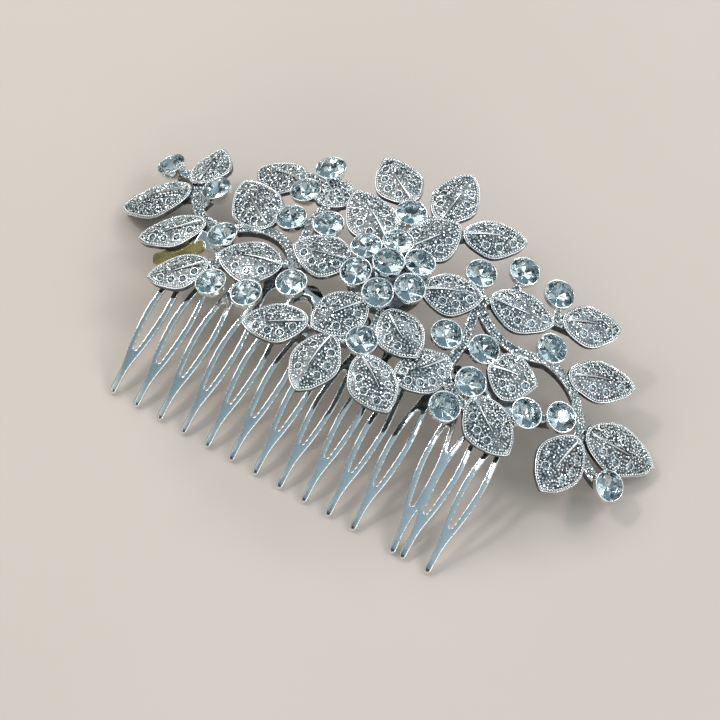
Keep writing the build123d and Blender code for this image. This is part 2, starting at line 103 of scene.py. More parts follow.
MILGRAIN_SPACING = 0.60 * MM
MILGRAIN_INSET = 0.50 * MM
STEM_BEAD_SPACING = 0.58 * MM
STEM_BEAD_SIZE = 0.9            # where a stem's edge beads stand in the range of sizes
STEM_ROW_SPREAD = 0.2
STEM_ROW_GAP = 0.46 * MM        # from a stem's edge beads to its grain
STEM_RIM_DROP = 0.30 * MM
MIDRIB_RADIUS = 0.34 * MM
MIDRIB_BOW = 0.45 * MM          # how far a midrib bows sideways
MIDRIB_LIFT = 0.10 * MM
MIDRIB_SHARE = 0.6              # how much of the leaf's length the midrib runs along
SEAT_RING_RADIUS = 0.15 * MM    # bright ring round each small stone
SEAT_RING_DROP = 0.24 * MM      # from the stone's table down to the ring
SEAT_RING_GAP = 0.07 * MM

# ---- stones -------------------------------------------------------------------
CRYSTAL_TABLE_SHARE = 0.46      # table radius over girdle radius
CRYSTAL_CROWN_SHARE = 0.32      # crown height over girdle radius
CRYSTAL_SIDES = 8
STAR_SHARE = 0.66               # how far the star facets reach from the table to the girdle
HALVES_SHARE = 0.72             # where the short facets under the girdle end, over its radius
GIRDLE_SHARE = 0.04             # girdle thickness over its radius
GEM_OVERSIZE = 0.06 * MM        # the cut stone fills its cup up to the lip
LIP_BELOW_TABLE = 1.125 * MM    # from a crystal's table down to where its cup's heights start
PAVE_GAP = 0.03 * MM
PAVE_LIFT = 0.02 * MM           # between a small stone's point and the bottom of its seat
PAVE_TABLE_SHARE = 0.55
PAVE_CROWN = 0.24 * MM
CRYSTAL_GROUPS = ("cluster", "left", "right")
SIDES = ("left", "right")
CUP_WALL = (                    # (radius, height) in millimetres, up the outside and down the inside
    (0.15, -2.66), (2.15, -2.66), (2.34, -2.55), (2.90, -1.75), (3.34, -1.00), (3.39, -0.80),
    (3.39, 0.02), (3.40, 0.12), (3.38, 0.22), (3.31, 0.27), (3.21, 0.26), (3.13, 0.20),
    (3.13, 0.14), (3.20, 0.10), (3.20, -0.20), (0.15, -2.20))

# ---- comb blade -----------------------------------------------------------------
BLADE_VOXEL = 0.15 * MM
BLADE_ROUNDS = 4                # rounds of smoothing
BLADE_KEPT = 0.38               # share of the triangles that stay, mostly on rounded edges

# ---- stage ------------------------------------------------------------------------
FLOOR_SIZE = 4.0
FLOOR_GAP = 0.02 * MM           # from the comb's lowest point down to the table top

# ---- first seeds of the random draws; each piece adds its own number ----------------
CRYSTAL_SEED = 40
PAVE_SEED = 60
LEAF_SEED = 100
STEM_SEED = 200


# ---- mesh helpers ---------------------------------------------------------------
class Shape:
    """Points and faces gathered from many small solids, with each face's material index."""

    def __init__(self):
        self.points = []
        self.faces = []
        self.slots = []
        self.count = 0

    def add(self, points, faces, slots=None):
        self.points.append(np.asarray(points, float))
        self.faces.extend(tuple(i + self.count for i in face) for face in faces)
        self.slots.extend(slots or [0] * len(faces))
        self.count += len(points)

    def build(self, name, materials, smooth=True):
        """The gathered solids as one mesh object."""
        mesh = bpy.data.meshes.new(name)
        mesh.from_pydata(np.concatenate(self.points).tolist(), [], self.faces)
        for material in materials:
            mesh.materials.append(material)
        mesh.polygons.foreach_set("material_index", self.slots)
        mesh.polygons.foreach_set("use_smooth", [smooth] * len(mesh.polygons))
        obj = bpy.data.objects.new(name, mesh)
        bpy.context.scene.collection.objects.link(obj)
        return obj


def frame_of(normal):
    """Two unit vectors square to normal and to each other."""
    normal = np.asarray(normal, float)
    across = np.cross(normal, (1, 0, 0))
    if np.linalg.norm(across) < 1e-6:
        across = np.cross(normal, (0, 1, 0))
    across /= np.linalg.norm(across)
    return np.cross(across, normal), across


def leaning(normal, draw):
    """A unit vector near normal, leaning a random way."""
    lean = np.array([draw.uniform(-GRAIN_TILT, GRAIN_TILT) for _ in range(3)])
    return (normal + lean) / np.linalg.norm(normal + lean)


def cut_bead(shape, centre, normal, radius, turn):
    """A bead with flat facets and a flat top, closed underneath."""
    first, second = frame_of(normal)
    rings = ((-0.40, 0.90), (0.28, 1.00), (0.84, 0.50))
    points = []
    for ring, (height, width) in enumerate(rings):
        for step in range(GRAIN_SIDES):
            angle = turn + 2 * math.pi * (step + 0.5 * (ring == 2)) / GRAIN_SIDES
            spoke = first * math.cos(angle) + second * math.sin(angle)
            points.append(centre + radius * (normal * height + spoke * width))
    low, middle, high = 0, GRAIN_SIDES, 2 * GRAIN_SIDES
    faces = [tuple(reversed(range(GRAIN_SIDES))), tuple(range(high, high + GRAIN_SIDES))]
    for step in range(GRAIN_SIDES):
        nxt = (step + 1) % GRAIN_SIDES
        faces.append((low + step, low + nxt, middle + nxt, middle + step))
        faces.append((middle + step, middle + nxt, high + step))
        faces.append((middle + nxt, high + nxt, high + step))
    shape.add(points, faces)


def bead(shape, centre, normal, radius, sides=8):
    """A round bead sunk into the surface, closed underneath."""
    first, second = frame_of(normal)
    rings = ((-0.35, 0.94), (0.30, 0.95), (0.75, 0.66))
    points = []
    for height, width in rings:
        for step in range(sides):
            angle = 2 * math.pi * step / sides
            spoke = first * math.cos(angle) + second * math.sin(angle)
            points.append(centre + radius * (normal * height + spoke * width))
    points.append(centre + radius * normal)
    faces = [tuple(reversed(range(sides)))]
    for ring in range(len(rings) - 1):
        for step in range(sides):
            nxt = (step + 1) % sides
            low, high = ring * sides, (ring + 1) * sides
            faces.append((low + step, low + nxt, high + nxt, high + step))
    top = (len(rings) - 1) * sides
    for step in range(sides):
        faces.append((top + step, top + (step + 1) % sides, top + sides))
    shape.add(points, faces)


def tube(shape, path, radius, sides, closed=False, ups=None, taper=False):
    """A round wire along a path of points, with rounded ends where it is open."""
    path = np.asarray(path, float)
    count = len(path)
    ahead = np.roll(path, -1, axis=0) - path
    behind = path - np.roll(path, 1, axis=0)
    if not closed:
        ahead[-1] = behind[-1]
        behind[0] = ahead[0]
    along = unit_rows(ahead + behind)
    points = []
    for index in range(count):
        up = np.array((0, 0, 1.0)) if ups is None else ups[index]
        side = np.cross(along[index], up)
        side /= max(np.linalg.norm(side), TINY)
        lift = np.cross(side, along[index])
        size = radius
        if taper:
            size = radius * (1 - (1 - WIRE_TAPER) * index / (count - 1))
        for step in range(sides):
            angle = 2 * math.pi * step / sides
            spoke = side * math.cos(angle) + lift * math.sin(angle)
            points.append(path[index] + size * spoke)
    faces = []
    for index in range(count if closed else count - 1):
        nxt = (index + 1) % count
        for step in range(sides):
            beside = (step + 1) % sides
            low, high = index * sides, nxt * sides
            faces.append((low + step, low + beside, high + beside, high + step))
    if not closed:
        tips = ((0, -along[0]), (count - 1, along[-1]))
        for index, outward in tips:
            size = radius * (WIRE_TAPER if taper and index else 1.0)
            tip = len(points)
            points.append(path[index] + outward * size * WIRE_TIP)
            for step in range(sides):
                beside = (step + 1) % sides
                ring = (index * sides + step, index * sides + beside)
                faces.append((ring[1], ring[0], tip) if index == 0 else (ring[0], ring[1], tip))
    shape.add(points, faces)


# ---- reading the frame ----------------------------------------------------------
class Solid:
    """One separate solid of a CAD node: its faces and its points."""

    def __init__(self, faces):
        self.faces = faces
        verts = {vert for face in faces for vert in face.verts}
        self.points = np.array([vert.co for vert in verts])


def solids_of(node):
    """A CAD node's separate solids, and the bmesh with closed seams that holds their faces."""
    bm = bmesh.new()
    bm.from_mesh(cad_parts[node].data)
    bmesh.ops.remove_doubles(bm, verts=bm.verts, dist=SEAM)
    bm.normal_update()
    found = []
    seen = set()
    for first in bm.faces:
        if first in seen:
            continue
        seen.add(first)
        group = []
        waiting = [first]
        while waiting:
            face = waiting.pop()
            group.append(face)
            for edge in face.edges:
                for other in edge.link_faces:
                    if other not in seen:
                        seen.add(other)
                        waiting.append(other)
        found.append(Solid(group))
    return found, bm


def stone_places(node):
    """Each stone of a node: the middle of its table, its axis, its radius and its depth."""
    places = []
    solids, bm = solids_of(node)
    for solid in solids:
        flats = {}
        for face in solid.faces:
            key = tuple(round(part, 2) for part in face.normal)
            flats.setdefault(key, []).append(face)
        table = max(flats.values(), key=lambda faces: sum(face.calc_area() for face in faces))
        area = sum(face.calc_area() for face in table)
        normal = sum((face.normal * face.calc_area() for face in table), Vector()) / area
        normal.normalize()
        weighted = (face.calc_center_median() * face.calc_area() for face in table)
        middle = sum(weighted, Vector()) / area
        offsets = solid.points - np.array(middle)
        depths = offsets @ np.array(normal)
        radius = np.linalg.norm(offsets - np.outer(depths, np.array(normal)), axis=1).max()
        places.append((np.array(middle), np.array(normal), radius, -depths.min()))
    bm.free()
    return places


def near_stone(point, stones, margin):
    """Whether a point lies within a stone's radius, plus a margin, of its axis."""
    for middle, normal, radius, _ in stones:
        offset = np.array(point) - middle
        depth = offset @ normal
        away = np.linalg.norm(offset - depth * normal)
        if abs(depth) < SEAT_DEPTH and away < radius + margin:
            return True
    return False


def stones_near(solid, stones):
    """The stones that lie in a leaf's box or just outside it."""
    low = solid.points.min(0) - STONE_SEARCH
    high = solid.points.max(0) + STONE_SEARCH
    return [stone for stone in stones if (stone[0] > low).all() and (stone[0] < high).all()]


def upward_faces(solid, stones):
    """The faces on top of a leaf or stem, without its stone seats, and the way they face."""
    tops = [face for face in solid.faces if face.normal.z > UPWARD_LEAST]
    up = sum((face.normal * face.calc_area() for face in tops), Vector()).normalized()
    chosen = []
    for face in tops:
        middle = face.calc_center_median()
        if face.normal.dot(up) > TOP_LEAST and not near_stone(middle, stones, 0.0):
            chosen.append(face)
    return chosen, up


def boundary_chains(top, stones):
    """Runs of edges round the upward faces: points, normals and inward directions."""
    inside = set(top)
    beside = {}
    links = {}
    for face in top:
        for edge in face.edges:
            others = [other for other in edge.link_faces if other not in inside]
            if not others:
                continue
            middle = (edge.verts[0].co + edge.verts[1].co) / 2
            if near_stone(middle, stones, SEAT_MARGIN):
                continue
            inward = face.calc_center_median() - middle
            run = (edge.verts[1].co - edge.verts[0].co).normalized()
            inward -= inward.dot(run) * run
            inward.normalize()
            for vert, other in (edge.verts, reversed(edge.verts)):
                links.setdefault(vert, []).append(other)
                beside.setdefault(vert, []).append((inward, face.normal))
    return chains_from(links, beside)


def chains_from(links, beside):
    """Turn a graph of neighbours into ordered runs."""
    chains = []
    used = set()
    starts = [vert for vert, near in links.items() if len(near) != 2] + list(links)
    for start in starts:
        for first in links[start]:
            if frozenset((start, first)) in used:
                continue
            run = [start, first]
            used.add(frozenset((start, first)))
            while len(links[run[-1]]) == 2:
                ahead = [v for v in links[run[-1]] if frozenset((run[-1], v)) not in used]
                if not ahead:
                    break
                used.add(frozenset((run[-1], ahead[0])))
                run.append(ahead[0])
            closed = run[0] is run[-1] and len(run) > 3
            if closed:
                run.pop()
            points = np.array([v.co for v in run])
            inwards = np.array([sum((b[0] for b in beside[v]), Vector()).normalized() for v in run])
            normals = np.array([sum((b[1] for b in beside[v]), Vector()).normalized() for v in run])
            chains.append((points, normals, inwards, closed))
    return chains


def resample(arrays, spacing, closed):
    """Even steps along a run, for its points and whatever goes with them."""
    points = arrays[0]
    if closed:
        arrays = [np.vstack((array, array[:1])) for array in arrays]
        points = arrays[0]
    steps = np.linalg.norm(np.diff(points, axis=0), axis=1)
    travelled = np.concatenate(([0], np.cumsum(steps)))
    count = max(2, int(round(travelled[-1] / spacing)))
    wanted = np.linspace(0, travelled[-1], count + 1)
    if closed:
        wanted = wanted[:-1]
    result = []
    for array in arrays:
        columns = [np.interp(wanted, travelled, array[:, axis]) for axis in range(3)]
        result.append(np.stack(columns, axis=1))
    return result


def smoothed(points, closed, rounds=3):
    points = points.copy()
    for _ in range(rounds):
        middle = (np.roll(points, 1, axis=0) + np.roll(points, -1, axis=0)) / 2
        if not closed:
            middle[0] = points[0]
            middle[-1] = points[-1]
        points = 0.5 * points + 0.5 * middle
    return points


def unit_rows(array):
    return array / np.maximum(np.linalg.norm(array, axis=1), TINY)[:, None]


# ---- leaves and stems -----------------------------------------------------------
def add_rim(wire, chain):
    """Plain wire along an edge and a row of beads just inside it. Returns the wire's line."""
    points, normals, inwards, closed = chain
    length = np.linalg.norm(np.diff(points, axis=0), axis=1).sum()
    if length < SHORTEST_EDGE:
        return points
    line, up, inward = resample([points, normals, inwards], LINE_STEP, closed)
    line = smoothed(line, closed)
    up = unit_rows(smoothed(up, closed))
    inward = unit_rows(smoothed(inward, closed))
    if len(line) > 3:
        tube(wire, line + inward * RIM_INSET, RIM_RADIUS, 8, closed, ups=up)
    row, row_up, row_in = resample([line, up, inward], MILGRAIN_SPACING, closed)
    row_up = unit_rows(row_up)
    row_in = unit_rows(row_in)
    for place, normal, inwardly in zip(row, row_up, row_in):
        bead(wire, place + inwardly * MILGRAIN_INSET, normal, MILGRAIN_RADIUS)
    return line


def scatter(top, spacing, clear_of, seed):
    """Random places on the upward faces, no two nearer than spacing.

    clear_of lists pairs of a tree and how far the places stay from that tree's points.
    """
    draw = random.Random(seed)
    triangles = []
    for face in top:
        corners = [vert.co for vert in face.verts]
        for index in range(1, len(corners) - 1):
            triangles.append((corners[0], corners[index], corners[index + 1], face.normal))
    areas = []
    for first, second, third, _ in triangles:
        areas.append((second - first).cross(third - first).length / 2)
    tries = int(sum(areas) / spacing ** 2 * GRAIN_TRIES)
    taken = {}
    places = []
    for first, second, third, normal in draw.choices(triangles, weights=areas, k=tries):
        u = draw.random()
        v = draw.random()
        if u + v > 1:
            u, v = 1 - u, 1 - v
        point = first + (second - first) * u + (third - first) * v
        cell = tuple(int(part // spacing) for part in point)
        near = [taken.get((cell[0] + i, cell[1] + j, cell[2] + k), ())
                for i in (-1, 0, 1) for j in (-1, 0, 1) for k in (-1, 0, 1)]
        if any((point - other).length < spacing for group in near for other in group):
            continue
        if any(tree.find(point)[2] < distance for tree, distance in clear_of):
            continue
        taken.setdefault(cell, []).append(point)
        places.append((np.array(point), np.array(normal), draw.random()))
    return places


def add_grain(grain, places, spread, seed):
    """Cut beads of slightly different sizes, each leaning its own way."""
    draw = random.Random(seed)
    for place, normal, chance in places:
        size = GRAIN_RADIUS * (1 - spread / 2 + spread * chance)
        cut_bead(grain, place, leaning(normal, draw), size, draw.uniform(0, math.pi))


def tree_of(points):
    tree = KDTree(max(1, len(points)))
    for index, point in enumerate(points):
        tree.insert(point, index)
    if not len(points):
        tree.insert((9, 9, 9), 0)
    tree.balance()
    return tree


def ridge_line(solid, top, up, stem_tree):
    """A leaf's ridge from its base, where the stem is nearest, to its tip."""
    inside = set(top)
    ridge = set()
    for face in top:
        for edge in face.edges:
            if len(edge.link_faces) == 2 and all(other in inside for other in edge.link_faces):
                if edge.calc_face_angle(0.0) > RIDGE_ANGLE:
                    ridge.update(edge.verts)
    points = np.array([vert.co for vert in ridge])
    if len(points) < 3:
        return None
    middle = points.mean(0)
    along = np.linalg.svd(points - middle)[2][0]
    reach = (solid.points - middle) @ along
    from_far_end = stem_tree.find(middle + along * reach.max())[2]
    from_near_end = stem_tree.find(middle + along * reach.min())[2]
    if from_far_end < from_near_end:
        along = -along
        reach = -reach
    order = (points - middle) @ along
    height = np.polyfit(order, (points - middle) @ np.array(up), 2)
    across = np.cross(np.array(up), along)
    sideways = np.polyfit(order, (points - middle) @ across, 1)
    steps = np.linspace(reach.min(), reach.max(), 40)
    flat = np.outer(steps, along) + np.outer(np.polyval(sideways, steps), across)
    return middle + flat + np.outer(np.polyval(height, steps), np.array(up))


def dress_leaf(node, stones, stem_tree, seed, materials):
    """Everything cast onto a leaf: rim, row of beads, midrib, seat rings and grain."""
    solids, bm = solids_of(node)
    solid = solids[0]
    own_stones = stones_near(solid, stones)
    top, up = upward_faces(solid, own_stones)
    wire = Shape()
    grain = Shape()
    edge_points = []
    for chain in boundary_chains(top, own_stones):
        edge_points.extend(add_rim(wire, chain))
    ridge = ridge_line(solid, top, up, stem_tree)
    rib_points = []
    if ridge is not None:
        across = np.cross(np.array(up), ridge[-1] - ridge[0])
        across /= np.linalg.norm(across)
        share = np.linspace(0, 1, len(ridge))
        bow = np.outer(np.sin(share * math.pi) * MIDRIB_BOW * (1 if seed % 2 else -1), across)
        rib_points = (ridge + bow)[2:int(len(ridge) * MIDRIB_SHARE)]
        ups = [np.array(up)] * len(rib_points)
        tube(wire, rib_points + ups[0] * MIDRIB_LIFT, MIDRIB_RADIUS, 10, ups=ups, taper=True)
    for middle, normal, radius, _ in own_stones:
        low = middle - normal * SEAT_RING_DROP
        add_ring(wire, low, normal, radius + SEAT_RING_GAP, SEAT_RING_RADIUS)
    clear_of = [
        (tree_of(edge_points), MILGRAIN_INSET + MILGRAIN_RADIUS + GRAIN_GAP),
        (tree_of([stone[0] for stone in own_stones]), GRAIN_TO_STONE),
        (tree_of(rib_points), MIDRIB_RADIUS + GRAIN_GAP),
    ]
    add_grain(grain, scatter(top, GRAIN_SPACING, clear_of, seed), LEAF_GRAIN_SPREAD, seed)
    bm.free()
    finish_dressing(node, wire, grain, materials)


def add_ring(shape, middle, normal, radius, thickness, steps=28):
    """A closed ring of round wire about an axis."""
    first, second = frame_of(normal)
    angles = np.linspace(0, 2 * math.pi, steps, endpoint=False)
    path = middle + radius * (np.outer(np.cos(angles), first) + np.outer(np.sin(angles), second))
    tube(shape, path, thickness, 8, True, ups=[normal] * steps)


def dress_stem(node, seed, materials):
    """A stem's granulated top: a row of cut beads along each edge and grain between the rows."""
    solids, bm = solids_of(node)
    wire = Shape()
    grain = Shape()
    for solid in solids:
        top, _ = upward_faces(solid, [])
        edge_points = []
        for points, normals, _, closed in boundary_chains(top, []):
            line, lift = resample([points, normals], LINE_STEP, closed)
            line = smoothed(line, closed)
            if len(line) > 3:
                tube(wire, line - lift * STEM_RIM_DROP, RIM_RADIUS, 8, closed, ups=unit_rows(lift))
            row, row_up = resample([line, lift], STEM_BEAD_SPACING, closed)
            beads = [(place, up, STEM_BEAD_SIZE) for place, up in zip(row, unit_rows(row_up))]
            add_grain(grain, beads, STEM_ROW_SPREAD, seed)
            edge_points.extend(row)
        clear_of = [(tree_of(edge_points), STEM_ROW_GAP)]
        places = scatter(top, STEM_GRAIN_SPACING, clear_of, seed)
        add_grain(grain, places, STEM_GRAIN_SPREAD, seed)
    bm.free()
    finish_dressing(node, wire, grain, materials)


def finish_dressing(node, wire, grain, materials):
    """The wires and the grain on one leaf or stem, as a piece each."""
    if wire.count:
        piece = wire.build("wire_" + node, [materials["polished"]])
        finish_piece(piece)
    if grain.count:
        piece = grain.build("grain_" + node, [materials["grain"]], smooth=False)
        finish_piece(piece)


def finish_piece(obj, replaced=()):
    """What every new piece needs: a body to ride on, and the CAD nodes it replaces hidden."""
    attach(obj, "root")
    if replaced:
        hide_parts(*replaced)


# ---- stones and cups --------------------------------------------------------------
def brilliant(shape, top, normal, radius, depth, table, crown, turn):
    """A round faceted stone: table, stars, kites, halves, girdle and pointed pavilion."""
    first, second = frame_of(normal)
    girdle = GIRDLE_SHARE * radius
    half_step = math.pi / CRYSTAL_SIDES

    def place(distance, angle, height):
        spoke = first * math.cos(angle + turn) + second * math.sin(angle + turn)
        return top + spoke * distance + normal * height

    points = []
    star = table + STAR_SHARE * (radius - table)
    star_fall = (star * math.cos(half_step) - table) * crown / (radius - table)
    low = crown + girdle
    mid = HALVES_SHARE * radius
    mid_rise = depth - mid * math.cos(half_step) * (depth - low) / radius
    for index in range(CRYSTAL_SIDES):
        angle = 2 * half_step * index
        points.append(place(table, angle, 0))
        points.append(place(star, angle + half_step, -star_fall))
        points.append(place(radius, angle, -crown))
        points.append(place(radius, angle + half_step, -crown))
        points.append(place(radius, angle, -low))
        points.append(place(radius, angle + half_step, -low))
        points.append(place(mid, angle + half_step, -mid_rise))
    culet = len(points)
    points.append(top - normal * depth)
    faces = [tuple(7 * index for index in range(CRYSTAL_SIDES))]
    slots = [0] + [0, 0, 0, 0, 0, 0, 1, 1, 1] * CRYSTAL_SIDES
    for index in range(CRYSTAL_SIDES):
        a = 7 * index
        b = 7 * ((index + 1) % CRYSTAL_SIDES)
        z = 7 * ((index - 1) % CRYSTAL_SIDES)
        faces.append((a, a + 1, b))
        faces.append((a, z + 1, a + 2, a + 1))
        faces.append((a + 1, a + 2, a + 3))
        faces.append((a + 1, a + 3, b + 2))
        faces.append((a + 2, a + 4, a + 5, a + 3))
        faces.append((a + 3, a + 5, b + 4, b + 2))
        faces.append((a + 4, a + 6, a + 5))
        faces.append((a + 5, a + 6, b + 4))
        faces.append((a + 6, a + 4, z + 6, culet))
    shape.add(points, faces, slots)


def lathe(shape, middle, normal, profile, steps=48):
    """A closed ring-shaped solid: profile is a loop of (radius, height) about the axis."""
    first, second = frame_of(normal)
    points = []
    for radius, height in profile:
        for step in range(steps):
            angle = 2 * math.pi * step / steps
            spoke = first * math.cos(angle) + second * math.sin(angle)
            points.append(middle + spoke * radius + normal * height)
    faces = []
    count = len(profile)
    for row in range(count):
        for step in range(steps):
            beside = (step + 1) % steps
            above = (row + 1) % count
            low, high = row * steps, above * steps
            faces.append((low + step, low + beside, high + beside, high + step))
    shape.add(points, faces)


def make_crystals(group, materials, seed):
    """A spray's large crystals, each in its cup."""
    draw = random.Random(seed)
    gems = Shape()
    cups = Shape()
    profile = [(radius * MM, height * MM) for radius, height in CUP_WALL]
    for middle, normal, radius, depth in stone_places("crystals_" + group):
        turn = draw.random() * math.pi
        table = radius * CRYSTAL_TABLE_SHARE
        crown = radius * CRYSTAL_CROWN_SHARE
        width = radius + GEM_OVERSIZE
        brilliant(gems, middle, normal, width, depth - GEM_OVERSIZE, table, crown, turn)
        lathe(cups, middle - normal * LIP_BELOW_TABLE, normal, profile)
    gem_piece = gems.build("gems_" + group, [materials["crystal"], materials["foil"]], smooth=False)
    finish_piece(gem_piece, ["crystals_" + group])
    cup_piece = cups.build("collets_" + group, [materials["polished"]])
    finish_piece(cup_piece, ["cups_" + group])


def make_pave(side, stones, materials, seed):
    """The small stones of one spray's leaves."""
    draw = random.Random(seed)
    gems = Shape()
    for middle, normal, radius, depth in stones:
        turn = draw.random() * math.pi
        size = radius - PAVE_GAP
        table = size * PAVE_TABLE_SHARE
        brilliant(gems, middle, normal, size, depth - PAVE_LIFT, table, PAVE_CROWN, turn)
    piece = gems.build("stones_" + side, [materials["pave"], materials["pave_foil"]], smooth=False)
    finish_piece(piece, ["pave_" + side])


# ---- comb blade ---------------------------------------------------------------------
def soften_blade(material):
    """The CAD blade with its edges rounded, as tumbling and plating leave them."""
    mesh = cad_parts["comb_blade"].data.copy()
    mesh.name = "blade"
    obj = bpy.data.objects.new("blade", mesh)
    bpy.context.scene.collection.objects.link(obj)
    bm = bmesh.new()
    bm.from_mesh(mesh)
    bmesh.ops.remove_doubles(bm, verts=bm.verts, dist=SEAM)
    bm.to_mesh(mesh)
    bm.free()
    remesh = obj.modifiers.new("remesh", "REMESH")
    remesh.mode = "VOXEL"
    remesh.voxel_size = BLADE_VOXEL
    remesh.use_smooth_shade = True
    smooth = obj.modifiers.new("smooth", "SMOOTH")
    smooth.factor = 0.5
    smooth.iterations = BLADE_ROUNDS
    thin = obj.modifiers.new("thin", "DECIMATE")
    thin.ratio = BLADE_KEPT
    bpy.context.view_layer.update()
    graph = bpy.context.evaluated_depsgraph_get()
    baked = bpy.data.meshes.new_from_object(obj.evaluated_get(graph))
    obj.modifiers.clear()
    obj.data = baked
    baked.materials.clear()
    baked.materials.append(material)
    baked.polygons.foreach_set("use_smooth", [True] * len(baked.polygons))
    finish_piece(obj, ["comb_blade"])


# ---- materials ------------------------------------------------------------------------
class Nodes:
    """A material's node tree, with short names for the nodes that every finish needs."""

    def __init__(self, name):
        self.material = bpy.data.materials.new(name)
        self.material.use_nodes = True
        self.tree = self.material.node_tree
        self.shader = self.tree.nodes["Principled BSDF"]
        self.coordinates = self.tree.nodes.new("ShaderNodeTexCoord")

    def link(self, output, target):
        self.tree.links.new(output, target)

    def noise(self, scale, detail=3.0, roughness=0.5):
        node = self.tree.nodes.new("ShaderNodeTexNoise")
        node.inputs["Scale"].default_value = scale
        node.inputs["Detail"].default_value = detail
        node.inputs["Roughness"].default_value = roughness
        self.link(self.coordinates.outputs["Object"], node.inputs["Vector"])
        return node.outputs["Fac"]

    def ramp(self, value, stops):
        node = self.tree.nodes.new("ShaderNodeValToRGB")
        ramp = node.color_ramp
        while len(ramp.elements) < len(stops):
            ramp.elements.new(0.5)
        for element, (position, colour) in zip(ramp.elements, stops):
            element.position = position
            element.color = colour if len(colour) == 4 else (*colour, 1.0)
        self.link(value, node.inputs["Fac"])
        return node.outputs["Color"]

    def remap(self, value, low, high):
        node = self.tree.nodes.new("ShaderNodeMapRange")
        node.inputs["To Min"].default_value = low
        node.inputs["To Max"].default_value = high
        node.inputs["From Min"].default_value = 0.3
        node.inputs["From Max"].default_value = 0.7
        self.link(value, node.inputs["Value"])
        return node.outputs["Result"]

    def bump(self, value, strength, distance):
        node = self.tree.nodes.new("ShaderNodeBump")
        node.inputs["Strength"].default_value = strength
        node.inputs["Distance"].default_value = distance
        self.link(value, node.inputs["Height"])
        self.link(node.outputs["Normal"], self.shader.inputs["Normal"])


def plated_metal(name, light, dark, smooth, rough, bump_scale, bump_height, mottle):
    """Plated metal: two near tones, roughness that wanders between two values and fine relief."""
    nodes = Nodes(name)
    nodes.shader.inputs["Metallic"].default_value = 1.0
    tone = nodes.ramp(nodes.noise(mottle, 4.0, 0.6), [(0.32, dark), (0.68, light)])
    nodes.link(tone, nodes.shader.inputs["Base Color"])
    wander = nodes.remap(nodes.noise(mottle * 2.2, 5.0, 0.6), smooth, rough)
    nodes.link(wander, nodes.shader.inputs["Roughness"])
    nodes.bump(nodes.noise(bump_scale, 4.0, 0.6), 0.5, bump_height)
    return nodes.material


def cut_glass(name, light, dark, ior, scale):
    """Clear cut glass with a faint grey-blue cast that varies from stone to stone."""
    nodes = Nodes(name)
    shader = nodes.shader
    shader.inputs["Transmission Weight"].default_value = 1.0
    shader.inputs["IOR"].default_value = ior
    tone = nodes.ramp(nodes.noise(scale, 2.0, 0.5), [(0.35, dark), (0.65, light)])
    nodes.link(tone, shader.inputs["Base Color"])
    nodes.link(nodes.remap(nodes.noise(scale * 8, 3.0, 0.6), 0.0, 0.02), shader.inputs["Roughness"])
    return nodes.material


# name, light tone, dark tone, least and most roughness, scale and height of the relief, scale of
# the tones
METALS = {
    "polished": (
        "polished_plating", (0.97, 0.97, 0.96), (0.88, 0.90, 0.90), 0.05, 0.14, 2600.0, 0.00001,
        900.0),
    # cast: the bed under the beads and wires, in near-black tones that are painted shade between the
    # beads, much darker than the plating itself
    "cast": (
        "bed_painted_shade", (0.22, 0.24, 0.25), (0.06, 0.07, 0.08), 0.18, 0.34, 3800.0, 0.00003, 900.0),
    "grain": (
        "grain_plating", (0.99, 0.99, 0.97), (0.56, 0.63, 0.63), 0.02, 0.08, 5200.0, 0.000004,
        1300.0),
    "comb": (
        "comb_plating", (0.95, 0.95, 0.94), (0.89, 0.90, 0.90), 0.04, 0.08, 900.0, 0.000003, 260.0),
    "tab": (
        "gilt_tab", (0.72, 0.64, 0.30), (0.62, 0.54, 0.24), 0.16, 0.24, 1500.0, 0.000002, 90.0),
    "solder": (
        "solder_joint", (0.74, 0.74, 0.72), (0.52, 0.52, 0.51), 0.26, 0.46, 1200.0, 0.00006, 600.0),
    "foil": (
        "foil_backing", (0.76, 0.81, 0.82), (0.53, 0.59, 0.61), 0.01, 0.04, 3000.0, 0.000001,
        300.0),
    "pave_foil": (
        "pave_foil_backing", (0.66, 0.72, 0.74), (0.40, 0.46, 0.48), 0.02, 0.08, 3000.0, 0.000001,
        700.0),
}
# name, light tone, dark tone, index of refraction, scale of the tones
GLASSES = {
    "crystal": ("crystal_glass", (0.98, 1.0, 1.0), (0.90, 0.95, 0.98), 1.55, 120.0),
    "pave": ("pave_glass", (0.97, 0.99, 1.0), (0.84, 0.90, 0.93), 1.60, 420.0),
}


def make_materials():
    made = {key: plated_metal(*row) for key, row in METALS.items()}
    made.update((key, cut_glass(*row)) for key, row in GLASSES.items())
    return made


def use_material(node, material):
    """The CAD node as it is, in a Blender finish."""
    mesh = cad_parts[node].data
    mesh.materials.clear()
    mesh.materials.append(material)


# ---- stage, light and camera --------------------------------------------------------------
def make_floor():
    nodes = Nodes("table_top")
    nodes.shader.inputs["Specular IOR Level"].default_value = 0.25
    tones = [(0.3, (0.683, 0.590, 0.522)), (0.7, (0.722, 0.628, 0.558))]
    tone = nodes.ramp(nodes.noise(6.0, 3.0), tones)
    nodes.link(tone, nodes.shader.inputs["Base Color"])
    nodes.shader.inputs["Roughness"].default_value = 0.7
    nodes.bump(nodes.noise(900.0, 4.0), 0.08, 0.0001)
    level = cad_box[0][2] - FLOOR_GAP
    bpy.ops.mesh.primitive_plane_add(size=FLOOR_SIZE, location=(0, 0, level))
    floor = bpy.context.object
    floor.name = "table_top"
    floor.data.materials.append(nodes.material)


